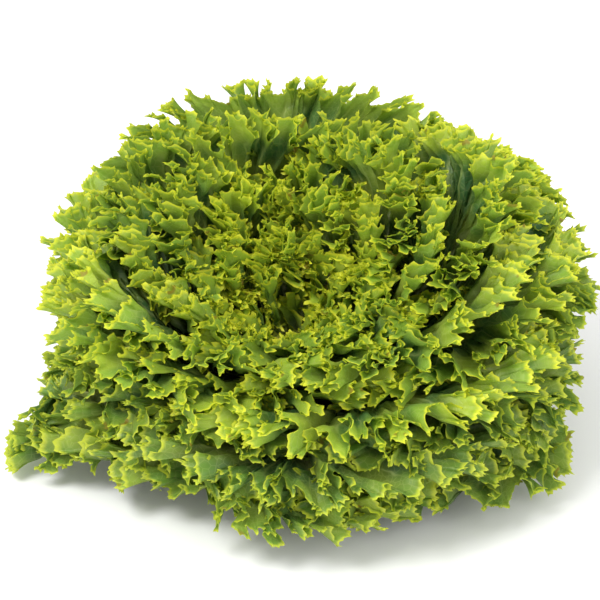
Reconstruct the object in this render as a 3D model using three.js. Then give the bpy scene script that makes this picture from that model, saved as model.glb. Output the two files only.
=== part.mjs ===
// A head of lollo bionda, the frilly pale green loose-leaf lettuce, as cut for sale.
// Millimetres, +Z up. The origin is the middle of the cut stem face that the head stands on.
//
// Every leaf lies on its own cup around the growing point. Cups of different rise angle never
// meet, so the leaves nest without touching, in the golden-angle spiral in which they grew.
import * as THREE from "three";

// The head as a whole.
const GROWTH_HEIGHT = 10; // height of the growing point, where all cups have their centre
const LEAN_FRONT = 0.2; // how far the head leans to the front (-Y), per millimetre of height
const LEAN_SIDE = 0.07; // and to its left (-X)
const BEND_FRONT = 0.0008; // how much it bends to the front on top of that, per square of height
const FLOOR_SOFTNESS = 5; // leaves under this height are pressed flatter, and stay above zero

// How far the leaves reach from the growing point.
const GROUND_REACH = 115; // on the floor
const GROUND_RISE = -8; // rise angle below which they reach no further than that, degrees
const DOME_REACH = 168; // at the shoulders
const DOME_RISE = 46; // rise angle from which they reach that far
const HEART_DROP = 68; // how much less at the heart
const HEART_RIM_RISE = 47; // rise angles over which the heart sinks
const HEART_RISE = 88;
const FRONT_DROP = 56; // how much less at the top of the front
const FRONT_RISE = 60; // rise angle from which the front is that low
const SIDE_SHIFT = 5; // how much more to the right, and less to the left
const FLANK_RISE = 27; // rise angle of the flanks' fullest part
const FLANK_SPAN = 16; // and how far from it they are still full
const FLANK_SHIFT = 11; // how much more there to the right, and less to the left
const FLANK_TUCK = 9; // how much less there on both sides
// Where single leaves stand out, or fall short where by is negative: azimuth and width of the
// place, and the rise angles over which it grows from nothing to all of that.
const SWELLS = [
  { by: 31, azimuth: 200, width: 9, none: 30, full: 0 }, // the tip that trails to the left
  { by: 9, azimuth: 180, width: 12, none: 30, full: 0 },
  { by: -17, azimuth: 240, width: 12, none: 30, full: 0 },
  { by: 3, azimuth: 271, width: 18, none: 30, full: 0 },
  { by: -7, azimuth: 301, width: 10, none: 30, full: 0 },
  { by: 13, azimuth: 330, width: 20, none: 30, full: 0 },
  { by: -12, azimuth: 8, width: 26, none: 30, full: 0 },
  { by: 7, azimuth: 105, width: 52, none: 5, full: 38 }, // the high back
  { by: 9, azimuth: 24, width: 30, none: 12, full: 36 },
];
const VIGOUR = 0.045; // how much longer or shorter than the rest a leaf may be, as a share
const VIGOUR_RHYTHM = 7; // how fast that changes from leaf to leaf, radians

// The stem: a stub with a flat cut face.
const STEM_RADIUS = 17;
const STEM_RISE = 5; // how much further its tip is from the growing point than its side
const STEM_FACE_RADIUS = 14.5;
const STEM_SHOULDER_RADIUS = 16.4; // at the height where the stub reaches its full width
const STEM_SHOULDER_HEIGHT = 3;
const STEM_LOWEST_RISE = -8; // rise angles between which the stub is round, degrees
const STEM_RING_STEP = 14;
const STEM_SIDES = 24;

// The leaves, counted from the outermost.
const OUTER_LEAVES = 18;
const MIDDLE_LEAVES = 22;
const HEART_LEAVES = 16;
const GOLDEN_ANGLE = 137.508; // degrees from one leaf to the next
const FIRST_AZIMUTH = 200; // where the outermost leaf points, degrees from +X
const LOWEST_RISE = 1; // rise angle of the outermost leaf, degrees above the horizon
const HIGHEST_RISE = 84; // and of the innermost
const CROWDING = 0.15; // how much closer in rise the inner leaves stand than the outer
const ARCH = 6; // outer leaves leave the stem this many degrees steeper and curve outwards
const INCURVE = 6; // inner leaves leave it this many degrees flatter and curve inwards
const ARCH_RADIUS = 115; // distance at which they cross their own rise angle
const OUTER_RISE = 20; // leaves below this rise angle are outer ones in this, degrees
const INNER_RISE = 70; // and leaves above this are inner ones
const PETIOLE_SPAN = 24; // half the angle that a leaf's foot takes of the stem, degrees
const BLADE_SPAN = 60; // half the angle that its blade takes of the head
const WIDENING_START = 0.1; // shares of its length between which it widens from one to the other
const WIDENING_END = 0.75;
const ROUNDING = 0.3; // share of its length that the blade falls short at its sides
const ROUNDING_POWER = 2.5; // the higher, the squarer its shoulders
const FOOT_GAP = 0.9; // between a leaf's foot and the stem
const FOOT_THICKNESS = 1.0;
const BLADE_THICKNESS = 1.3;
const COLUMNS = 8; // faces across a leaf
const ROWS = 6; // faces along a leaf

const leafCount = OUTER_LEAVES + MIDDLE_LEAVES + HEART_LEAVES;
const radians = (angle) => (angle * Math.PI) / 180;
const degrees = (angle) => (angle * 180) / Math.PI;
const mix = (a, b, share) => a + (b - a) * share;
const smooth = (low, high, value) => {
  const share = Math.min(1, Math.max(0, (value - low) / (high - low)));
  return share * share * (3 - 2 * share);
};

// 1 at the centre, falling to nothing a few widths away; for angles in degrees.
function bell(value, centre, width) {
  const away = ((((value - centre + 180) % 360) + 360) % 360) - 180;
  return Math.exp(-((away / width) ** 2));
}

// How far from the growing point the leaves reach, at a rise angle and an azimuth in degrees.
// The front stands lower than the back, and the heart is sunk between them.
function reach(rise, azimuth) {
  const dome = mix(GROUND_REACH, DOME_REACH, smooth(GROUND_RISE, DOME_RISE, rise));
  const heart = HEART_DROP * smooth(HEART_RIM_RISE, HEART_RISE, rise);
  const right = Math.cos(radians(azimuth));
  const frontness = (1 - Math.sin(radians(azimuth))) / 2;
  const front = FRONT_DROP * smooth(0, FRONT_RISE, rise) * frontness ** 2;
  const flank = (FLANK_SHIFT * right - FLANK_TUCK * right ** 2) * bell(rise, FLANK_RISE, FLANK_SPAN);
  let distance = dome - heart - front + SIDE_SHIFT * right + flank;
  for (const swell of SWELLS) {
    const grown = smooth(swell.none, swell.full, rise);
    distance += swell.by * grown * bell(azimuth, swell.azimuth, swell.width);
  }
  return distance;
}

// The rise angle of a leaf numbered from the outermost, 0, to the innermost.
function riseOf(number) {
  const share = number / (leafCount - 1);
  return mix(LOWEST_RISE, HIGHEST_RISE, share + CROWDING * share * (1 - share));
}

// The stem's own surface, as a distance from the growing point.
const stemReach = (rise) => STEM_RADIUS + STEM_RISE * (rise / 90) ** 2;

// The head's lean, applied to a point of the upright head.
function leaned(point) {
  point.x -= LEAN_SIDE * point.z;
  point.y -= LEAN_FRONT * point.z + BEND_FRONT * point.z ** 2;
  return point;
}

// The head's lean and the floor's push, applied to a point of a leaf.
function settle(point) {
  leaned(point);
  if (point.z < FLOOR_SOFTNESS) {
    point.z = FLOOR_SOFTNESS * Math.exp((point.z - FLOOR_SOFTNESS) / FLOOR_SOFTNESS);
  }
  return point;
}

// A point at a distance, rise and azimuth from the growing point, in the upright head.
function fromGrowth(distance, rise, azimuth) {
  const level = distance * Math.cos(radians(rise));
  return new THREE.Vector3(
    level * Math.cos(radians(azimuth)),
    level * Math.sin(radians(azimuth)),
    GROWTH_HEIGHT + distance * Math.sin(radians(rise)),
  );
}

// A point of a leaf. across runs from -1 to 1, along from 0 at the foot to 1 at the margin, and
// side is -1 on its outer face and 1 on its inner one.
function leafPoint(rise, azimuth, vigour, across, along, side) {
  const foot = stemReach(rise) + FOOT_GAP;
  const span = mix(PETIOLE_SPAN, BLADE_SPAN, smooth(WIDENING_START, WIDENING_END, along));
  const turned = azimuth + across * span;
  const full = vigour * (reach(rise, turned) - foot);
  const shortened = 1 - ROUNDING * Math.abs(across) ** ROUNDING_POWER * smooth(0, 1, along);
  const distance = foot + along * full * shortened;
  const arch = mix(ARCH, -INCURVE, smooth(OUTER_RISE, INNER_RISE, rise));
  const curved = rise + arch * (1 - (distance / ARCH_RADIUS) ** 2);
  const half = mix(FOOT_THICKNESS, BLADE_THICKNESS, smooth(0, 1, along)) / 2;
  const lift = degrees((side * half) / distance);
  return settle(fromGrowth(distance, curved + lift, turned));
}

// A leaf as one closed sheet: its inner and outer face, joined round the edge.
function leafGeometry(rise, azimuth, vigour) {
  const positions = [];
  const index = [];
  const width = COLUMNS + 1;
  const faceSize = width * (ROWS + 1);
  for (const side of [-1, 1]) {
    for (let row = 0; row <= ROWS; row++) {
      for (let column = 0; column <= COLUMNS; column++) {
        const across = (2 * column) / COLUMNS - 1;
        positions.push(...leafPoint(rise, azimuth, vigour, across, row / ROWS, side));
      }
    }
  }
  const outer = (row, column) => row * width + column;
  const inner = (row, column) => faceSize + outer(row, column);
  const quad = (a, b, c, d) => index.push(a, b, c, a, c, d);
  for (let row = 0; row < ROWS; row++) {
    for (let column = 0; column < COLUMNS; column++) {
      const next = column + 1;
      quad(outer(row, column), outer(row, next), outer(row + 1, next), outer(row + 1, column));
      quad(inner(row, column), inner(row + 1, column), inner(row + 1, next), inner(row, next));
    }
    quad(outer(row, 0), outer(row + 1, 0), inner(row + 1, 0), inner(row, 0));
    quad(
      outer(row + 1, COLUMNS),
      outer(row, COLUMNS),
      inner(row, COLUMNS),
      inner(row + 1, COLUMNS),
    );
  }
  for (let column = 0; column < COLUMNS; column++) {
    const next = column + 1;
    quad(outer(0, next), outer(0, column), inner(0, column), inner(0, next));
    quad(outer(ROWS, column), outer(ROWS, next), inner(ROWS, next), inner(ROWS, column));
  }
  return closedGeometry(positions, index);
}

function closedGeometry(positions, index) {
  const geometry = new THREE.BufferGeometry();
  geometry.setAttribute("position", new THREE.Float32BufferAttribute(positions, 3));
  geometry.setIndex(index);
  geometry.computeVertexNormals();
  return geometry;
}

// The stem: a lathed stub, leaning with the head.
function stemGeometry() {
  const profile = [
    new THREE.Vector2(0, 0),
    new THREE.Vector2(STEM_FACE_RADIUS, 0),
    new THREE.Vector2(STEM_SHOULDER_RADIUS, STEM_SHOULDER_HEIGHT),
  ];
  for (let rise = STEM_LOWEST_RISE; rise < 90; rise += STEM_RING_STEP) {
    const distance = stemReach(rise);
    profile.push(
      new THREE.Vector2(
        distance * Math.cos(radians(rise)),
        GROWTH_HEIGHT + distance * Math.sin(radians(rise)),
      ),
    );
  }
  profile.push(new THREE.Vector2(0, GROWTH_HEIGHT + stemReach(90)));
  const geometry = new THREE.LatheGeometry(profile, STEM_SIDES);
  geometry.rotateX(Math.PI / 2);
  const position = geometry.getAttribute("position");
  const point = new THREE.Vector3();
  for (let i = 0; i < position.count; i++) {
    leaned(point.fromBufferAttribute(position, i));
    position.setXYZ(i, point.x, point.y, point.z);
  }
  return geometry;
}

// Colours and finish.
const plain = (color, roughness) =>
  new THREE.MeshStandardMaterial({ color, roughness, metalness: 0, side: THREE.DoubleSide });
const OUTER_GREEN = plain(0x6f9424, 0.55);
const MIDDLE_GREEN = plain(0x96b32a, 0.5);
const HEART_GREEN = plain(0xb4c648, 0.5);
const STEM_WHITE = plain(0xdcd9b6, 0.6);

const leafKinds = [
  { name: "outer_leaf", count: OUTER_LEAVES, material: OUTER_GREEN },
  { name: "middle_leaf", count: MIDDLE_LEAVES, material: MIDDLE_GREEN },
  { name: "heart_leaf", count: HEART_LEAVES, material: HEART_GREEN },
];

const head = new THREE.Group();
const stem = new THREE.Mesh(stemGeometry(), STEM_WHITE);
stem.name = "stem";
head.add(stem);

let number = 0;
for (const kind of leafKinds) {
  for (let each = 1; each <= kind.count; each++) {
    const azimuth = FIRST_AZIMUTH + number * GOLDEN_ANGLE;
    const vigour = 1 + VIGOUR * Math.sin(VIGOUR_RHYTHM * number);
    const leaf = new THREE.Mesh(leafGeometry(riseOf(number), azimuth, vigour), kind.material);
    leaf.name = kind.name + "_" + String(each).padStart(2, "0");
    head.add(leaf);
    number += 1;
  }
}

export default head;
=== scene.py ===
"""A head of lollo bionda lettuce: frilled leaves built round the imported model, and a studio.

Every leaf lies on a cup round the growing point, as its CAD sheet does. Its margin is far
longer than the cup has room for, so it winds to and fro in waves of several lengths, and each
wave dies out towards the midrib over a distance that goes with its own length.
Lengths are in millimetres and angles in degrees, unless a comment says otherwise. The meshes,
the lights and the camera are in metres.
"""

import math

import bpy
import numpy as np
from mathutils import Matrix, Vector


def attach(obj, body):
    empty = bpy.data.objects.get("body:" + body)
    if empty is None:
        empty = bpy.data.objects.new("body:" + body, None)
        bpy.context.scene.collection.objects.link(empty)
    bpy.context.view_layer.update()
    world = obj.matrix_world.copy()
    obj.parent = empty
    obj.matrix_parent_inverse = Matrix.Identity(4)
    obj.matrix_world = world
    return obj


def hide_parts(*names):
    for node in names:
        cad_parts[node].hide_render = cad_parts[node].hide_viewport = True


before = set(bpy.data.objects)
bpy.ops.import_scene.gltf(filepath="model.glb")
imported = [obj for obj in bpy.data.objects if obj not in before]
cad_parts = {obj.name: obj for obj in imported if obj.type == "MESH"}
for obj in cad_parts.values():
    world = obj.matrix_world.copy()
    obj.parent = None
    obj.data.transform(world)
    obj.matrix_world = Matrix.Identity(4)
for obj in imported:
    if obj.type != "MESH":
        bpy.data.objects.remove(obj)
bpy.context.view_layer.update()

# ---------------------------------------------------------------- the head, as in the CAD source
GROWTH_HEIGHT = 10.0  # centre of all cups, above the cut stem face
LEAN_FRONT, LEAN_SIDE = 0.2, 0.07  # lean towards -Y and -X, per millimetre of height
BEND_FRONT = 0.0008  # bend towards -Y, per square of height
FLOOR_SOFTNESS = 5.0  # leaves below this height are pressed flatter
STEM_RADIUS, STEM_RISE = 17.0, 5.0
STEM_FACE_RADIUS = 14.5
OUTER_LEAVES, MIDDLE_LEAVES, HEART_LEAVES = 18, 22, 16
GOLDEN_ANGLE, FIRST_AZIMUTH = 137.508, 200.0
LOWEST_RISE, HIGHEST_RISE, CROWDING = 1.0, 84.0, 0.15
ARCH, INCURVE, ARCH_RADIUS = 6.0, 6.0, 115.0
OUTER_RISE, INNER_RISE = 20.0, 70.0
PETIOLE_SPAN = 24.0
GROUND_REACH, DOME_REACH = 115.0, 168.0
GROUND_RISE, DOME_RISE = -8.0, 46.0
HEART_DROP, HEART_RIM_RISE, HEART_RISE = 68.0, 47.0, 88.0
FRONT_DROP, FRONT_RISE = 56.0, 60.0
SIDE_SHIFT, FLANK_SHIFT, FLANK_TUCK = 5.0, 11.0, 9.0
FLANK_RISE, FLANK_SPAN = 27.0, 16.0
# Where leaves stand out: by how much, azimuth, width, and rises where that is none and full.
SWELLS = (
    (31.0, 200.0, 9.0, 30.0, 0.0),
    (9.0, 180.0, 12.0, 30.0, 0.0),
    (-17.0, 240.0, 12.0, 30.0, 0.0),
    (3.0, 271.0, 18.0, 30.0, 0.0),
    (-7.0, 301.0, 10.0, 30.0, 0.0),
    (13.0, 330.0, 20.0, 30.0, 0.0),
    (-12.0, 8.0, 26.0, 30.0, 0.0),
    (7.0, 105.0, 52.0, 5.0, 38.0),
    (9.0, 24.0, 30.0, 12.0, 36.0),
)
LEAF_COUNT = OUTER_LEAVES + MIDDLE_LEAVES + HEART_LEAVES

# ---------------------------------------------------------------- leaf outline
VIGOUR = 0.045  # how much longer or shorter than the rest a leaf may be, as a share
VIGOUR_TURN = 7.0  # radians by which the vigour's sine goes on from leaf to leaf
ROUND_SPAN, FAN_SPAN, FULLNESS = 45.0, 33.0, 0.62
SPINE_SHARE = 0.55  # a side vein leaves the midrib at this share of its margin point's distance
OUTLINE_POINTS = 801  # points at which a leaf's smooth margin is measured
FIRST_SEED = 1000  # the first leaf's random seed; each next leaf has the next number

# ---------------------------------------------------------------- frill
MARGIN_STEP = 0.68  # length of margin between two columns of the mesh
# Each wave of the margin: its length, before the leaf's scale, and how many radians it turns.
WAVES = (
    (110.0, 0.95),
    (47.0, 1.7),
    (13.0, 1.48),
    (6.0, 0.8),
)
# Waves in how far the margin stands out: length, before the leaf's scale, and height.
LOBES = (
    (24.0, 1.6),
    (70.0, 5.5),
)
LOBE_DROP = 3.5  # how far all lobes are set back
OUTER_SCALE, HEART_SCALE = 1.03, 0.6  # wavelengths on the outermost and innermost leaves
YOUTH_START = 0.25  # share of the leaves, from outside, on which waves aren't shorter yet
# How a wave's rate and height wander: wavelengths between two new aims, and the least and most.
RATE_KNOTS, LEAST_RATE, MOST_RATE = 1.6, 0.72, 1.38
HEIGHT_KNOTS, LEAST_HEIGHT, MOST_HEIGHT = 1.3, 0.7, 1.2
LONGEST_WINDING = 16.0  # no margin is more than this many times as long as its line
ACROSS_BLUR, FORWARD_BLUR = 70.0, 30.0  # drift over about these lengths or more is taken out
STILL_SHARE, WOUND_SHARE = 0.25, 0.8  # shares of a leaf's length where winding starts and is full
CALM_LENGTH = 26.0  # the frill dies out over this length at both ends of a margin
DECAY = 0.4  # how fast a wave dies out inwards, against its own wave number
INNER_FELT = 40.0  # extra depth, for the dying out of waves, from the edge band to the midrib
FLOP = 0.75  # how far a low lobe falls inwards, against how low it is
LIFT, LIFT_DEPTH = 7.0, 18.0  # how far the outermost margins turn up, and how deep that goes
LIFT_GONE_RISE = 16.0  # the rise at which leaves no longer turn up
HOOK_BACK, HOOK_FRONT = 8.5, -3.0  # how far the margins of other leaves bend inwards
HOOK_START_RISE, HOOK_FULL_RISE = 12.0, 36.0
CRUMPLE, CRUMPLE_LENGTH = 2.0, 19.0  # height and length of the blade's own bulges
CRUMPLE_FROM_MARGIN = (2.0, 14.0)  # distances at which bulges start and are full
CRUMPLE_FROM_MIDRIB = (3.0, 20.0)

# ---------------------------------------------------------------- teeth
FIRST_TOOTH, LAST_COLUMNS = 2, 6  # first tooth's middle column; teeth stop so far from the end
NARROW_HALF, WIDE_HALF = 2, 3  # columns from a tooth's middle to its hollow
TOOTH_GAP = 2  # columns from a tooth's hollow to the middle of the next tooth
TOOTH_HEIGHTS = (0.8, 2.1)
LONG_TOOTH, LONG_TOOTH_CHANCE = 1.5, 0.15
TOOTH_SHARPNESS = 1.5  # above 1, teeth have hollow flanks
CURL, CURL_SPACING = 0.6, 5.0  # most sideways lean, against height; columns between its aims
TOOTH_ROOT = 0.35  # how much of a tooth the second row follows

# ---------------------------------------------------------------- mesh rows
EDGE_BAND = 26.0  # depth of the rows that follow the margin closely
BAND_ROOM = 1.7  # side veins shorter than this many edge bands have a narrower one
COARSEST = 16
# Depth of each row from the margin, and how many margin columns each of its faces takes.
EDGE_ROWS = (
    (0.0, 1),
    (1.1, 1),
    (2.4, 2),
    (4.2, 2),
    (6.5, 4),
    (9.5, 4),
    (13.0, 8),
    (17.5, 8),
    (EDGE_BAND, COARSEST),
)
INNER_ROWS = 6

# ---------------------------------------------------------------- midrib and flat map
RIB_RINGS, RIB_SIDES = 18, 8
RIB_START, RIB_END = -0.02, 0.72  # shares of the leaf's length
RIB_WIDTHS, RIB_HEIGHTS = (4.6, 0.5), (3.4, 0.3)  # at the foot and at the tip
RIB_TAPER_START, RIB_TAPER = -0.1, 0.7  # share of the length, and the taper's power
RIB_TIP = 0.9  # share by which the last ring is smaller still
RIB_FLATNESS = 0.12  # share of its height by which the bar reaches to the leaf's inner side
BLADE_STRIP, RIB_STRIP = 0.94, 0.045  # shares of the flat map's height

# ---------------------------------------------------------------- stem
STEM_SIDES = 96
FACE_RADII = (0.0, 3.0, 6.0, 9.0, 11.5, 13.2, 14.2, STEM_FACE_RADIUS)
FACE_HOLLOW = 0.7
STEM_SHOULDER = ((15.2, 0.5), (15.9, 1.6), (16.4, 3.0))  # radius and height
BODY_START, BODY_END, BODY_STEP = -8.0, 88.0, 4.0  # rises of the rings of the stem's round part
SWELLING, SWELLING_WIDTH = 1.1, 9.0  # height and angular size of the swelling under a leaf's foot

TINY, TINIEST = 1e-6, 1e-9  # these keep divisions from zero
MILLIMETRES_PER_METRE = 1000.0


def mix(a, b, share):
    return a + (b - a) * share


def smooth(low, high, value):
    share = np.clip((value - low) / (high - low), 0.0, 1.0)
    return share * share * (3.0 - 2.0 * share)


def sine(degrees):
    return np.sin(np.radians(degrees))


def cosine(degrees):
    return np.cos(np.radians(degrees))


def unit(vectors):
    return vectors / (np.linalg.norm(vectors, axis=-1, keepdims=True) + TINIEST)


def bell(value, centre, width):
    """1 at the centre, falling to nothing a few widths away; for angles in degrees."""
    away = (value - centre + 180.0) % 360.0 - 180.0
    return np.exp(-((away / width) ** 2))


def reach(rise, azimuth):
    """How far from the growing point the leaves reach, as in the CAD source."""
    dome = mix(GROUND_REACH, DOME_REACH, smooth(GROUND_RISE, DOME_RISE, rise))
    heart = HEART_DROP * smooth(HEART_RIM_RISE, HEART_RISE, rise)
    right = cosine(azimuth)
    frontness = (1.0 - sine(azimuth)) / 2.0
    front = FRONT_DROP * smooth(0, FRONT_RISE, rise) * frontness**2
    flank = (FLANK_SHIFT * right - FLANK_TUCK * right**2) * bell(rise, FLANK_RISE, FLANK_SPAN)
    distance = dome - heart - front + SIDE_SHIFT * right + flank
    for by, centre, width, none, full in SWELLS:
        distance = distance + by * smooth(none, full, rise) * bell(azimuth, centre, width)
    return distance


def leaf_rise(number):
    """The rise angle of a leaf counted from the outermost."""
    share = number / (LEAF_COUNT - 1)
    return mix(LOWEST_RISE, HIGHEST_RISE, share + CROWDING * share * (1.0 - share))


def leaf_azimuth(number):
    return FIRST_AZIMUTH + number * GOLDEN_ANGLE


def stem_reach(rise):
    return STEM_RADIUS + STEM_RISE * (rise / 90.0) ** 2


def leaned(points):
    x, y, z = points[..., 0], points[..., 1], points[..., 2]
    return np.stack([x - LEAN_SIDE * z, y - LEAN_FRONT * z - BEND_FRONT * z**2, z], axis=-1)


def settled(points):
    """The head's lean and the floor's push on points of the upright head."""
    points = leaned(points)
    z = points[..., 2]
    pressed = FLOOR_SOFTNESS * np.exp(np.minimum(z, FLOOR_SOFTNESS) / FLOOR_SOFTNESS - 1.0)
    points[..., 2] = np.where(z < FLOOR_SOFTNESS, pressed, z)
    return points


def cup(rise, distance, azimuth):
    """Points on a leaf's cup, with unit vectors round it, outwards along it and to its inner side."""
    arch = mix(ARCH, -INCURVE, smooth(OUTER_RISE, INNER_RISE, rise))
    curved = rise + arch * (1.0 - (distance / ARCH_RADIUS) ** 2)
    bend = -2.0 * math.radians(arch) * distance**2 / ARCH_RADIUS**2
    heading = curved + np.degrees(np.arctan(bend))
    level = distance * cosine(curved)
    side, front = cosine(azimuth), sine(azimuth)
    point = np.stack([level * side, level * front, GROWTH_HEIGHT + distance * sine(curved)], -1)
    around = np.stack([-front, side, np.zeros_like(distance)], -1)
    outward = np.stack([cosine(heading) * side, cosine(heading) * front, sine(heading)], -1)
    inner = np.stack([-sine(heading) * side, -sine(heading) * front, cosine(heading)], -1)
    return point, around, outward, inner


def growth_distance(points):
    return np.linalg.norm(points - [0, 0, GROWTH_HEIGHT], axis=1)


# ---------------------------------------------------------------- winding margins
def damped(values, depth):
    """A margin's displacement as it is felt at a depth: each wave shrinks with its wave number."""
    count = len(values)
    padded = np.concatenate([values, values[::-1]])
    number = 2.0 * math.pi * np.fft.rfftfreq(len(padded), MARGIN_STEP)
    waves = np.fft.rfft(padded) * np.exp(-DECAY * number * depth)
    return np.fft.irfft(waves, len(padded))[:count]


def blurred(values, width):
    """values with everything much shorter than width smoothed away; its ends stay."""
    count = len(values)
    line = np.linspace(values[0], values[-1], count)
    padded = np.concatenate([values - line, line[::-1] - values[::-1]])
    number = 2.0 * math.pi * np.fft.rfftfreq(len(padded), MARGIN_STEP)
    waves = np.fft.rfft(padded) * np.exp(-0.5 * (number * width) ** 2)
    return line + np.fft.irfft(waves, len(padded))[:count]


def wandering(random, spacing, low, high, at):
    """A value that wanders between low and high, with a new aim every spacing."""
    knots = np.arange(-spacing, at[-1] + 2 * spacing, spacing)
    return np.interp(at, knots, random.uniform(low, high, len(knots)))


def wave(random, along, wavelength, amplitude):
    """A wave along the margin, whose length and height wander."""
    spacing = RATE_KNOTS * wavelength
    rate = wandering(random, spacing, LEAST_RATE, MOST_RATE, along) / wavelength
    spacing = HEIGHT_KNOTS * wavelength
    height = amplitude * wandering(random, spacing, LEAST_HEIGHT, MOST_HEIGHT, along)
    return height * np.sin(2.0 * math.pi * (np.cumsum(rate) * MARGIN_STEP + random.random()))


def waves_together(random, along, scale, waves):
    return sum(wave(random, along, length * scale, amplitude) for length, amplitude in waves)


def walk(measured, turns, strength):
    """Where a margin goes that starts along a line and turns off it by the angles in turns.

    Returns how far each column has come along the line and across it, up to the line's end.
    """
    forward, across = [0.0], [0.0]
    place = 0
    while forward[-1] < measured[-1]:
        while place < len(measured) - 2 and measured[place + 1] < forward[-1]:
            place += 1
        heading = turns[len(forward)] * strength[place]
        forward.append(forward[-1] + math.cos(heading) * MARGIN_STEP)
        across.append(across[-1] + math.sin(heading) * MARGIN_STEP)
    return forward, across


def winding(random, measured, strength, scale):
    """A margin that winds along a line.

    measured is the length along the line of each of its points, and strength how strongly it
    winds there. Returns, for each column of the mesh, how far along the line it stands when
    smoothed, its displacement along the line and across the leaf, and how far lobes stand out.
    """
    along = np.arange(0.0, measured[-1] * LONGEST_WINDING, MARGIN_STEP)
    turns = waves_together(random, along, scale, WAVES)
    forward, across = walk(measured, turns, strength)
    count = len(forward) // COARSEST * COARSEST
    forward = np.array(forward[:count] + [measured[-1]])
    across = np.array(across[:count] + [across[count - 1]])
    across -= blurred(across, ACROSS_BLUR)
    steady = np.maximum.accumulate(blurred(forward, FORWARD_BLUR))
    lobes = waves_together(random, along, scale, LOBES) - LOBE_DROP
    return steady, forward - steady, across, lobes[: count + 1]


def teeth(random, count):
    """The margin's teeth, as how far each column stands out: points with hollows between them."""
    height = np.zeros(count + 1)
    column = FIRST_TOOTH
    while column < count - LAST_COLUMNS:
        half = random.integers(NARROW_HALF, WIDE_HALF + 1)
        tall = random.uniform(*TOOTH_HEIGHTS)
        if random.random() < LONG_TOOTH_CHANCE:
            tall *= LONG_TOOTH
        for offset in range(-half + 1, half):
            height[column + offset] = tall * (1.0 - abs(offset) / half) ** TOOTH_SHARPNESS
        column += half + TOOTH_GAP
    return height


# ---------------------------------------------------------------- one leaf
def outline(turn):
    """The margin of a leaf, for turn from -1 at one end of its foot to 1 at the other.

    Returns the angle from the midrib and the share of the leaf's length.
    """
    angle = math.pi * turn
    spread = np.sin(angle) * (ROUND_SPAN + FAN_SPAN * np.cos(angle))
    foot = PETIOLE_SPAN * np.sign(turn) * (1.0 - np.cos(angle)) / 2.0
    return spread + foot, ((1.0 + np.cos(angle)) / 2.0) ** FULLNESS


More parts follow.
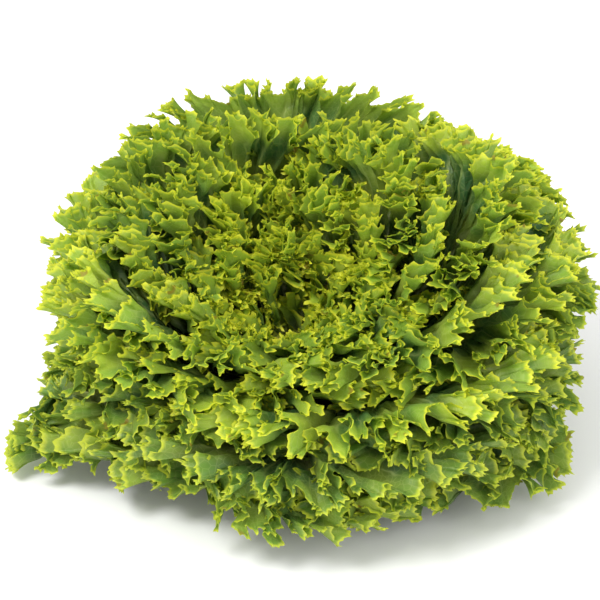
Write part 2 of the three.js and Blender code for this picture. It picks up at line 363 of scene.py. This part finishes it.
class Leaf:
    """The rows of one leaf's mesh, from its margin to its midrib."""

    def __init__(self, number):
        self.rise = leaf_rise(number)
        self.azimuth = leaf_azimuth(number)
        self.foot = stem_reach(self.rise)
        self.vigour = 1.0 + VIGOUR * math.sin(VIGOUR_TURN * number)
        self.random = np.random.default_rng(FIRST_SEED + number)
        youth = smooth(YOUTH_START, 1.0, number / (LEAF_COUNT - 1))
        self.scale = mix(OUTER_SCALE, HEART_SCALE, youth)
        self.lift = self.margin_lift()
        self.phases = self.random.random(2)

    def margin_lift(self):
        """How far the margin stands to the leaf's inner side: low leaves turn up, others hook."""
        hook = mix(HOOK_FRONT, HOOK_BACK, (1.0 + sine(self.azimuth)) / 2.0)
        turned_up = LIFT * (1.0 - smooth(0, LIFT_GONE_RISE, self.rise))
        return turned_up + hook * smooth(HOOK_START_RISE, HOOK_FULL_RISE, self.rise)

    def place(self, offset, share):
        """A point of the smooth leaf, with the unit vectors of its cup."""
        turned = self.azimuth + offset
        full = self.vigour * (reach(self.rise, turned) - self.foot)
        return cup(self.rise, self.foot + share * full, turned)

    def measure_margin(self):
        """Measures the smooth margin and its side veins, and winds the frilled one along it."""
        self.turns = np.linspace(-1.0, 1.0, OUTLINE_POINTS)
        spans, shares = outline(self.turns)
        edge, around, outward, _ = self.place(spans, shares)
        steps = np.linalg.norm(np.diff(edge, axis=0), axis=1)
        self.measured = np.concatenate([[0.0], np.cumsum(steps)])
        tangent = unit(np.gradient(edge, axis=0))
        self.tangent_around = np.sum(tangent * around, axis=1)
        self.tangent_outward = np.sum(tangent * outward, axis=1)
        spine, *_ = self.place(np.zeros_like(spans), SPINE_SHARE * shares)
        self.ray_length = np.linalg.norm(edge - spine, axis=1)
        strength = smooth(STILL_SHARE, WOUND_SHARE, shares)
        self.wound = winding(self.random, self.measured, strength, self.scale)

    def turns_at(self, evenness):
        """The turn of each column. As evenness nears 1, the leaf's halves become mirror images."""
        turn = np.interp(self.wound[0], self.measured, self.turns)
        even = (turn - turn[::-1]) / 2.0
        return mix(turn, even, evenness)

    def calm(self):
        """How far each column takes part in the frill, which the ends of the margin don't."""
        steady, room = self.wound[0], self.measured[-1]
        return smooth(0.0, CALM_LENGTH, steady) * smooth(0.0, CALM_LENGTH, room - steady)

    def pushes(self, at, around, outward, inner):
        """The winding's displacements, each with the direction that it pushes points in."""
        _, forward, across, lobes = self.wound
        along = np.interp(at, self.turns, self.tangent_around)[:, None] * around
        along = along + np.interp(at, self.turns, self.tangent_outward)[:, None] * outward
        beyond = np.cross(along, inner)
        return (forward, along), (across, inner), (lobes, beyond - FLOP * inner)

    def crumple(self, steady, down, length, calm):
        """The height of the blade's bulges, which keep clear of the margin and the midrib."""
        bulge = sine(360.0 * (steady / CRUMPLE_LENGTH + self.phases[0]))
        bulge = bulge * sine(360.0 * (down / CRUMPLE_LENGTH + self.phases[1]))
        clear = smooth(*CRUMPLE_FROM_MARGIN, down) * smooth(*CRUMPLE_FROM_MIDRIB, length - down)
        return CRUMPLE * bulge * (clear * calm)

    def row(self, depth, stride, share_in):
        """One row of the leaf: its points, their turn, depth and distance from the midrib.

        Rows of the edge band lie at a depth. Inner ones lie at a share of the way on from it.
        """
        steady = self.wound[0]
        pick = np.arange(0, len(steady), stride)
        evenness = smooth(0.0, 1.0, share_in)
        at = self.turns_at(evenness)[pick]
        length = np.interp(at, self.turns, self.ray_length)
        down = depth / EDGE_BAND * (EDGE_BAND * np.minimum(1.0, length / (BAND_ROOM * EDGE_BAND)))
        down = down + (length - down) * share_in
        keep = 1.0 - down / np.maximum(length, TINY)
        span, share = outline(at)
        point, around, outward, inner = self.place(span * keep, mix(SPINE_SHARE * share, share, keep))
        beside = np.abs(np.radians(span * keep)) * np.hypot(point[:, 0], point[:, 1])

        calm = self.calm()[pick]
        strength = (calm * (1.0 - evenness))[:, None]
        felt = depth + share_in * INNER_FELT
        for values, way in self.pushes(at, around, outward, inner):
            point = point + damped(values, felt)[pick, None] * way * strength
        point = point + self.crumple(steady[pick], down, length, calm)[:, None] * inner
        lift = self.lift * np.exp(-down / LIFT_DEPTH)
        point = point + lift[:, None] * inner * calm[:, None]
        return point, at, down, beside

    def rows(self):
        self.measure_margin()
        inner = [(EDGE_BAND, COARSEST, k / INNER_ROWS) for k in range(1, INNER_ROWS + 1)]
        plan = [(depth, stride, 0.0) for depth, stride in EDGE_ROWS] + inner
        rows = [self.row(*step) for step in plan]
        self.add_teeth(rows)
        return rows

    def add_teeth(self, rows):
        """Teeth stand out the way the frill is going, each curled a little to one side."""
        edge, under = rows[0][0], rows[1][0]
        spikes = teeth(self.random, len(edge) - 1)
        outwards = unit(edge - under)
        sideways = unit(np.cross(np.gradient(edge, axis=0), outwards))
        columns = np.arange(float(len(edge)))
        curl = wandering(self.random, CURL_SPACING, -CURL, CURL, columns)
        tips = spikes[:, None] * (outwards + curl[:, None] * sideways)
        edge += tips
        under += TOOTH_ROOT * tips


# ---------------------------------------------------------------- meshes
def stitch(rows):
    """Faces between rows, each as long as the next or twice as long: as places in one long list."""
    faces = []
    start = 0
    for upper, lower in zip(rows[:-1], rows[1:]):
        fine, coarse = len(upper[0]), len(lower[0])
        below = start + fine
        i = np.arange(coarse - 1)
        if fine == coarse:
            quads = np.stack([start + i, start + i + 1, below + i + 1, below + i], -1)
            faces += quads.tolist()
        else:
            left, middle, right = start + 2 * i, start + 2 * i + 1, start + 2 * i + 2
            faces += np.stack([left, middle, below + i], -1).tolist()
            faces += np.stack([middle, below + i + 1, below + i], -1).tolist()
            faces += np.stack([middle, right, below + i + 1], -1).tolist()
        start = below
    return faces


def folded(faces, count, last):
    """The faces with the halves of the last row brought together, as they are one midline."""
    start = count - last
    twin = np.arange(count)
    twin[start:] = start + np.minimum(np.arange(last), last - 1 - np.arange(last))
    return [[int(twin[corner]) for corner in face] for face in faces]


def compacted(faces):
    """The points that faces use, and the faces with their corners counted among those only."""
    kept, where = np.unique(np.concatenate([np.array(face) for face in faces]), return_inverse=True)
    ends = np.cumsum([len(face) for face in faces])
    compact = [where[end - len(face) : end].tolist() for face, end in zip(faces, ends)]
    return kept, compact


def make_piece(name, points, faces, shades, material):
    """A smooth object of the points that faces use, with each shade's value at every point.

    points are in millimetres.
    """
    kept, compact = compacted(faces)
    mesh = bpy.data.meshes.new(name)
    mesh.from_pydata((points[kept] / MILLIMETRES_PER_METRE).tolist(), [], compact)
    for shade, values in shades.items():
        data = mesh.attributes.new(shade, "FLOAT", "POINT").data
        data.foreach_set("value", values[kept].astype(np.float32))
    mesh.polygons.foreach_set("use_smooth", [True] * len(mesh.polygons))
    mesh.materials.append(material)
    mesh.update()
    piece = bpy.data.objects.new(name, mesh)
    bpy.context.scene.collection.objects.link(piece)
    return piece


def tube_faces(rings, sides):
    """Quads round a tube of rings of points, all with as many sides."""
    faces = []
    for ring in range(rings - 1):
        for side in range(sides):
            a, b = ring * sides + side, ring * sides + (side + 1) % sides
            faces.append([a, b, b + sides, a + sides])
    return faces


def rib(leaf):
    """The midrib: a tapered half-round bar along the outer side of the leaf's midline."""
    share = np.linspace(RIB_START, RIB_END, RIB_RINGS)
    point, around, _, inner = leaf.place(np.zeros(RIB_RINGS), share)
    taper = smooth(RIB_TAPER_START, RIB_END, share) ** RIB_TAPER
    narrowed = 1.0 - RIB_TIP * (share >= share[-1])
    width = mix(*RIB_WIDTHS, taper) * narrowed
    height = mix(*RIB_HEIGHTS, taper) * narrowed
    angles = np.arange(RIB_SIDES) * 2.0 * math.pi / RIB_SIDES
    sideways = np.cos(angles)[None, :, None]
    outwards = np.maximum(np.sin(angles), -RIB_FLATNESS)[None, :, None]
    points = (
        point[:, None]
        + width[:, None, None] * sideways * around[:, None]
        - height[:, None, None] * outwards * inner[:, None]
    )
    faces = tube_faces(RIB_RINGS, RIB_SIDES)
    faces.append(list(range(RIB_SIDES))[::-1])
    faces.append([(RIB_RINGS - 1) * RIB_SIDES + side for side in range(RIB_SIDES)])
    return points.reshape(-1, 3), faces, np.repeat(share, RIB_SIDES)


def add_flat_map(piece, corners, rows, bar_share):
    """A flat map of the leaf: margin at the top, and the midrib's bar in a strip at the bottom."""
    turn = np.concatenate([row[1] for row in rows])
    level = np.concatenate([np.full(len(row[0]), k) for k, row in enumerate(rows)])
    blade = len(turn)
    flat = np.zeros((blade + len(bar_share), 2))
    flat[:blade, 0] = (turn + 1.0) / 2.0
    flat[:blade, 1] = 1.0 - BLADE_STRIP * level / (len(rows) - 1)
    flat[blade:, 0] = (bar_share - RIB_START) / (RIB_END - RIB_START)
    flat[blade:, 1] = RIB_STRIP * np.tile(np.arange(RIB_SIDES) / RIB_SIDES, RIB_RINGS)
    uv = piece.data.uv_layers.new(name="OFBake")
    uv.data.foreach_set("uv", flat[np.concatenate([np.array(c) for c in corners])].ravel())


def make_leaf(name, number, material):
    leaf = Leaf(number)
    rows = leaf.rows()
    blade, turn, depth, beside = (np.concatenate(column) for column in zip(*rows))
    bar, bar_faces, bar_share = rib(leaf)
    bar_faces = [[len(blade) + corner for corner in face] for face in bar_faces]

    # Faces that the folding leaves with a corner twice are dropped, from the flat map too.
    corners = stitch(rows)
    faces = folded(corners, len(blade), len(rows[-1][0])) + bar_faces
    corners += bar_faces
    used = [k for k, face in enumerate(faces) if len(set(face)) == len(face)]

    points = np.concatenate([blade, bar])
    nothing = np.zeros(len(bar))
    shades = {
        "depth": np.concatenate([depth, nothing + EDGE_BAND * 2]),
        "ray": np.concatenate([np.interp(turn, leaf.turns, leaf.measured), nothing]),
        "beside": np.concatenate([beside, nothing]),
        "distance": growth_distance(points),
        "tint": np.full(len(points), leaf.random.random()),
    }
    piece = make_piece(name, settled(points), [faces[k] for k in used], shades, material)
    add_flat_map(piece, [corners[k] for k in used], rows, bar_share)
    return piece


# ---------------------------------------------------------------- the stem
def stem_profile():
    """Radius and height of each ring of the stem, and how many make its face and shoulder."""
    face = [(r, FACE_HOLLOW * (1.0 - (r / STEM_FACE_RADIUS) ** 2)) for r in FACE_RADII]
    rises = np.arange(BODY_START, BODY_END, BODY_STEP)
    round_part = [
        (stem_reach(r) * cosine(r), GROWTH_HEIGHT + stem_reach(r) * sine(r)) for r in rises
    ]
    profile = np.array(face + list(STEM_SHOULDER) + round_part)
    return profile[:, 0], profile[:, 1], len(face) + len(STEM_SHOULDER)


def swollen(points, first_round):
    """The stem's rings, pushed out under the foot of each leaf from the first round one on."""
    ways = unit(points - np.array([0.0, 0.0, GROWTH_HEIGHT]))
    swelling = np.zeros(points.shape[:2])
    for number in range(LEAF_COUNT):
        rise, azimuth = leaf_rise(number), leaf_azimuth(number)
        way = np.array([cosine(rise) * cosine(azimuth), cosine(rise) * sine(azimuth), sine(rise)])
        apart = np.degrees(np.arccos(np.clip(ways @ way, -1.0, 1.0)))
        swelling = np.maximum(swelling, SWELLING * np.exp(-((apart / SWELLING_WIDTH) ** 2)))
    swelling[:first_round] = 0.0
    return points + swelling[..., None] * ways


def stem_faces(rings):
    """Faces of the stem. Its first ring is one point, the cut face's middle; its top is closed."""
    faces = [[face[0]] + face[:0:-1] for face in tube_faces(rings, STEM_SIDES)]
    faces = [[0 if corner < STEM_SIDES else corner for corner in face] for face in faces]
    faces = [list(dict.fromkeys(face)) for face in faces]
    apex, last = rings * STEM_SIDES, (rings - 1) * STEM_SIDES
    for side in range(STEM_SIDES):
        faces.append([last + side, apex, last + (side + 1) % STEM_SIDES])
    return faces


def make_stem(material):
    """The stub of the stem: a hollowed cut face, and a swelling under the foot of each leaf."""
    azimuths = np.arange(STEM_SIDES) * 360.0 / STEM_SIDES
    across, up, first_round = stem_profile()
    rings = [
        np.outer(across, cosine(azimuths)),
        np.outer(across, sine(azimuths)),
        np.outer(up, np.ones(STEM_SIDES)),
    ]
    points = swollen(np.stack(rings, -1), first_round)
    top = np.array([[0.0, 0.0, GROWTH_HEIGHT + stem_reach(90.0)]])
    points = leaned(np.concatenate([points.reshape(-1, 3), top]))
    on_face = np.zeros(len(points))
    on_face[: len(FACE_RADII) * STEM_SIDES] = 1.0
    shades = {"on_face": on_face, "radius": np.append(np.repeat(across, STEM_SIDES), 0.0)}
    return make_piece("cut_stem", points, stem_faces(len(across)), shades, material)


# ---------------------------------------------------------------- materials
def srgb(red, green, blue):
    """A screen colour, 0 to 255, as linear light."""
    return tuple(
        c / 12.92 if c <= 0.04045 else ((c + 0.055) / 1.055) ** 2.4
        for c in (red / 255, green / 255, blue / 255)
    ) + (1.0,)


SIDE_VEIN_COLOUR = srgb(206, 216, 130)
FOOT_COLOUR = srgb(226, 228, 176)
BROWNED_TIP_COLOUR = srgb(126, 92, 36)
LIGHT_THROUGH_COLOUR = srgb(183, 222, 100)
SKIN_COLOURS = srgb(214, 218, 160), srgb(228, 226, 190)
PITH_COLOUR, CUT_COLOUR = srgb(226, 222, 186), srgb(205, 190, 140)
BROWNED_CUT_COLOUR = srgb(158, 98, 52)

# Depths from the margin, in millimetres.
# The rim band is partly the margin's own yellow, partly a painted highlight of its lit edge.
RIM_AND_HIGHLIGHT_START, RIM_AND_HIGHLIGHT_END = 0.2, 1.6
# Inwards the blade darkens: partly its own deeper green, partly painted shade in the frill's hollows.
BLADE_DEPTH, DEEP_AND_SHADE_DEPTH = 1.5, 15.0
VEINS_START, VEINS_FULL = 3.0, 16.0
RIB_SHADE_START, RIB_SHADE_FULL = 20.0, 44.0
BROWNED_START, BROWNED_END = 0.8, 2.2
# Distances from the growing point, the midrib and the stem's axis.
FOOT_START, FOOT_END = 24.0, 62.0
RIB_SHADE_SIDE = (0.6, 3.0)
PITH_START, PITH_END = 5.0, 9.0
# Side veins: how far apart they meet the margin, half their width, and how far they stray.
VEIN_SPACING, VEIN_WIDTH, VEIN_WANDER = 9.0, 0.8, 5.0
# How fine each pattern is: its scale, per metre.
PATCH_SCALE, WANDER_SCALE, SPOT_SCALE, STREAK_SCALE = 45.0, 120.0, 130.0, 220.0
NET_SCALE, BULGE_SCALE = 300.0, 210.0
NET_WIDTH, NET_STRENGTH, VEIN_STRENGTH, VEIN_SINK = 0.09, 0.45, 0.4, 0.35
# Values of each pattern at which it starts to show and shows in full.
PATCHES, SPOTS, STREAKS, BROWNED = (0.35, 0.7), (0.76, 0.8), (0.3, 0.7), (0.2, 1.1)
STREAK_MIDDLE = 0.5
# How much of each colour is mixed in at most.
PATCH_SHARE, TINT_SHARE, RIB_SHARE, SPOT_SHARE = 0.35, 0.22, 0.75, 0.8
LIT_SHARE, THROUGH_SHARE = 0.45, 0.36
LEAF_BUMP = {"Strength": 0.55, "Distance": 0.0011}
STEM_BUMP = {"Strength": 0.5, "Distance": 0.0006}
WAXY = {"Roughness": 0.42, "Specular IOR Level": 0.4}
MOIST = {
    "Roughness": 0.4,
    "Subsurface Weight": 0.15,
    "Subsurface Radius": (0.003, 0.003, 0.0015),
}


class Nodes:
    """A material's node tree, with short calls to add to it."""

    def __init__(self, name):
        self.material = bpy.data.materials.new(name)
        self.material.use_nodes = True
        self.tree = self.material.node_tree
        self.tree.nodes.clear()

    def add(self, kind, inputs, **settings):
        """Adds a node. inputs gives a number, a colour or another node's output for each socket."""
        node = self.tree.nodes.new("ShaderNode" + kind)
        for key, value in settings.items():
            setattr(node, key, value)
        for key, value in inputs.items():
            if isinstance(value, bpy.types.NodeSocket):
                self.tree.links.new(value, node.inputs[key])
            else:
                node.inputs[key].default_value = value
        return node

    def shade(self, name):
        return self.add("Attribute", {}, attribute_name=name).outputs["Fac"]

    def math(self, operation, a, b=0.0):
        return self.add("Math", {0: a, 1: b}, operation=operation).outputs[0]

    def times(self, a, b):
        return self.math("MULTIPLY", a, b)

    def span(self, value, low, high, to_low=0.0, to_high=1.0):
        """value eased from one span to another."""
        inputs = {"Value": value, 1: low, 2: high, 3: to_low, 4: to_high}
        node = self.add("MapRange", inputs, interpolation_type="SMOOTHSTEP")
        return node.outputs[0]

    def fall(self, value, low, high):
        """1 up to low, easing to nothing at high."""
        return self.span(value, low, high, 1.0, 0.0)

    def blend(self, share, a, b):
        node = self.add("Mix", {0: share, 6: a, 7: b}, data_type="RGBA")
        return node.outputs[2]

    def where(self):
        return self.add("TexCoord", {}).outputs["Object"]

    def noise(self, scale, detail=2.0):
        inputs = {"Vector": self.where(), "Scale": scale, "Detail": detail}
        return self.add("TexNoise", inputs).outputs["Fac"]

    def cells(self, scale, feature):
        inputs = {"Vector": self.where(), "Scale": scale}
        return self.add("TexVoronoi", inputs, feature=feature).outputs["Distance"]

    def finish(self, surface):
        self.add("OutputMaterial", {"Surface": surface.outputs[0]})
        return self.material


def blade_colour(n, rim_and_highlight, blade, deep_and_shade):
    """From the bright rim, partly painted highlight, to a deep blade, partly painted shade; with
    patches and a tint of each leaf's own.
    """
    depth = n.shade("depth")
    # Darker inwards: partly the blade's own green, partly painted shade in the frill's hollows.
    colour = n.blend(n.span(depth, BLADE_DEPTH, DEEP_AND_SHADE_DEPTH), blade, deep_and_shade)
    patches = n.span(n.noise(PATCH_SCALE), *PATCHES, 0.0, PATCH_SHARE)
    colour = n.blend(patches, colour, rim_and_highlight)
    colour = n.blend(n.span(n.shade("tint"), 0.0, 1.0, 0.0, TINT_SHARE), colour, deep_and_shade)
    # The rim: the margin's own yellow with a painted highlight of its lit edge.
    return n.blend(n.fall(depth, RIM_AND_HIGHLIGHT_START, RIM_AND_HIGHLIGHT_END), colour, rim_and_highlight)


def vein_pattern(n):
    """Side veins that run along the rays, and a net of fine ones between them."""
    wander = n.times(n.noise(WANDER_SCALE), VEIN_WANDER)
    side = n.math("PINGPONG", n.math("ADD", n.shade("ray"), wander), VEIN_SPACING / 2.0)
    side = n.fall(side, 0.0, VEIN_WIDTH)
    side = n.times(side, n.span(n.shade("depth"), VEINS_START, VEINS_FULL))
    net = n.fall(n.cells(NET_SCALE, "DISTANCE_TO_EDGE"), 0.0, NET_WIDTH)
    return n.math("MAXIMUM", side, n.times(net, NET_STRENGTH))


def pale_parts(n):
    """The midrib and the foot, which are almost white."""
    near_rib = n.fall(n.shade("beside"), *RIB_SHADE_SIDE)
    near_rib = n.times(near_rib, n.span(n.shade("depth"), RIB_SHADE_START, RIB_SHADE_FULL))
    foot = n.fall(n.shade("distance"), FOOT_START, FOOT_END)
    return n.math("MAXIMUM", n.times(near_rib, RIB_SHARE), foot)


def browned_tips(n):
    """The few spots along the margin where tooth tips have browned."""
    spots = n.span(n.noise(SPOT_SCALE, 0.0), *SPOTS)
    spots = n.times(spots, n.fall(n.shade("depth"), BROWNED_START, BROWNED_END))
    return n.times(spots, SPOT_SHARE)


def puckered(n, veins):
    """The normal of a blade that bulges between its sunken veins."""
    bulge = n.math("SUBTRACT", 1.0, n.cells(BULGE_SCALE, "SMOOTH_F1"))
    height = n.math("SUBTRACT", bulge, n.times(veins, VEIN_SINK))
    return n.add("Bump", {"Height": height, **LEAF_BUMP}).outputs[0]


def leaf_material(name, rim_and_highlight, blade, deep_and_shade):
    """Waxy leaf: a bright rim, partly painted highlight; a blade that deepens inwards, partly painted
    shade; pale veins; light coming through.
    """
    n = Nodes(name)
    veins = vein_pattern(n)
    colour = blade_colour(n, rim_and_highlight, blade, deep_and_shade)
    colour = n.blend(n.times(veins, VEIN_STRENGTH), colour, SIDE_VEIN_COLOUR)
    colour = n.blend(pale_parts(n), colour, FOOT_COLOUR)
    colour = n.blend(browned_tips(n), colour, BROWNED_TIP_COLOUR)
    inputs = {"Base Color": colour, "Normal": puckered(n, veins), **WAXY}
    surface = n.add("BsdfPrincipled", inputs)
    lit = n.blend(LIT_SHARE, colour, LIGHT_THROUGH_COLOUR)
    through = n.add("BsdfTranslucent", {"Color": lit})
    shares = {0: THROUGH_SHARE, 1: surface.outputs[0], 2: through.outputs[0]}
    return n.finish(n.add("MixShader", shares))


def stem_material():
    """Cream stem, with a moist cut face that has browned towards its edge."""
    n = Nodes("stem_white")
    radius, streaks = n.shade("radius"), n.noise(STREAK_SCALE, 4.0)
    skin = n.blend(n.span(streaks, *STREAKS), *SKIN_COLOURS)
    cut = n.blend(n.span(radius, PITH_START, PITH_END), PITH_COLOUR, CUT_COLOUR)
    browned = n.span(radius, PITH_END, STEM_FACE_RADIUS)
    browned = n.math("ADD", browned, n.math("SUBTRACT", streaks, STREAK_MIDDLE))
    cut = n.blend(n.span(browned, *BROWNED), cut, BROWNED_CUT_COLOUR)
    colour = n.blend(n.shade("on_face"), skin, cut)
    bump = n.add("Bump", {"Height": streaks, **STEM_BUMP})
    inputs = {"Base Color": colour, "Normal": bump.outputs[0], **MOIST}
    return n.finish(n.add("BsdfPrincipled", inputs))


# ---------------------------------------------------------------- studio, in metres
CAMERA_ELEVATION, CAMERA_DISTANCE = 32.0, 1.6
VIEW_WIDTH, VIEW_SHIFT = 0.294, 0.057  # what the view spans, and how far above the origin it aims
SENSOR_WIDTH = 36.0
FLOOR_HALF, FLOOR_COLOUR, FLOOR_ROUGHNESS = 3.0, (0.9, 0.9, 0.9, 1), 0.8
SKY_COLOUR, SKY_STRENGTH = (1, 1, 1, 1), 1.0
# Name, place, diameter and power of each light.
LIGHTS = (
    ("key", (-0.7, -0.7, 1.5), 0.7, 23.0),
    ("fill", (1.0, -0.9, 0.9), 0.9, 7.0),
)


def make_camera():
    """The photograph's view: from the front and above, with a long lens."""
    data = bpy.data.cameras.new("camera")
    camera = bpy.data.objects.new("camera", data)
    bpy.context.scene.collection.objects.link(camera)
    back = Vector((0.0, -cosine(CAMERA_ELEVATION), sine(CAMERA_ELEVATION)))
    up = Vector((0.0, sine(CAMERA_ELEVATION), cosine(CAMERA_ELEVATION)))
    camera.location = up * VIEW_SHIFT + back * CAMERA_DISTANCE
    camera.rotation_euler = (math.radians(90 - CAMERA_ELEVATION), 0, 0)
    data.sensor_width = SENSOR_WIDTH
    data.lens = data.sensor_width * CAMERA_DISTANCE / VIEW_WIDTH
    bpy.context.scene.camera = camera


def make_floor():
    side = FLOOR_HALF
    mesh = bpy.data.meshes.new("floor")
    corners = [(-side, -side, 0), (side, -side, 0), (side, side, 0), (-side, side, 0)]
    mesh.from_pydata(corners, [], [(0, 1, 2, 3)])
    floor = bpy.data.objects.new("floor", mesh)
    bpy.context.scene.collection.objects.link(floor)
    n = Nodes("floor")
    inputs = {"Base Color": FLOOR_COLOUR, "Roughness": FLOOR_ROUGHNESS}
    mesh.materials.append(n.finish(n.add("BsdfPrincipled", inputs)))


def make_light(name, place, size, power):
    data = bpy.data.lights.new(name, "AREA")
    data.shape = "DISK"
    data.size = size
    data.energy = power
    light = bpy.data.objects.new(name, data)
    light.location = place
    light.rotation_euler = (Vector(place) * -1).to_track_quat("-Z", "Y").to_euler()
    bpy.context.scene.collection.objects.link(light)


def make_studio():
    scene = bpy.context.scene
    world = bpy.data.worlds.new("studio")
    scene.world = world
    world.use_nodes = True
    background = world.node_tree.nodes["Background"]
    background.inputs[0].default_value = SKY_COLOUR
    background.inputs[1].default_value = SKY_STRENGTH
    for light in LIGHTS:
        make_light(*light)
    scene.view_settings.view_transform = "Standard"


# ---------------------------------------------------------------- the scene
make_camera()
make_floor()
make_studio()

# Kind, how many, slot and material, whose colours are the rim's, the blade's and the deep blade's.
# The outer leaves' colours are darker: partly their own older green, partly painted shade of the
# head's low side.
KINDS = (
    ("outer_leaf", OUTER_LEAVES, "outer_green",
     leaf_material("outer_green", srgb(207, 214, 60), srgb(108, 144, 58), srgb(50, 82, 54))),
    ("middle_leaf", MIDDLE_LEAVES, "middle_green",
     leaf_material("middle_green", srgb(226, 227, 56), srgb(146, 178, 60), srgb(68, 110, 62))),
    ("heart_leaf", HEART_LEAVES, "heart_green",
     leaf_material("heart_green", srgb(236, 234, 64), srgb(172, 200, 64), srgb(88, 130, 66))),
)
leaves_made = 0
for kind, count, slot, material in KINDS:
    for each in range(1, count + 1):
        node = f"{kind}_{each:02d}"
        piece = make_leaf("frilled_" + node, leaves_made, material)
        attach(piece, "root")
        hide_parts(node)
        leaves_made += 1

stem = make_stem(stem_material())
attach(stem, "root")
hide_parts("stem")
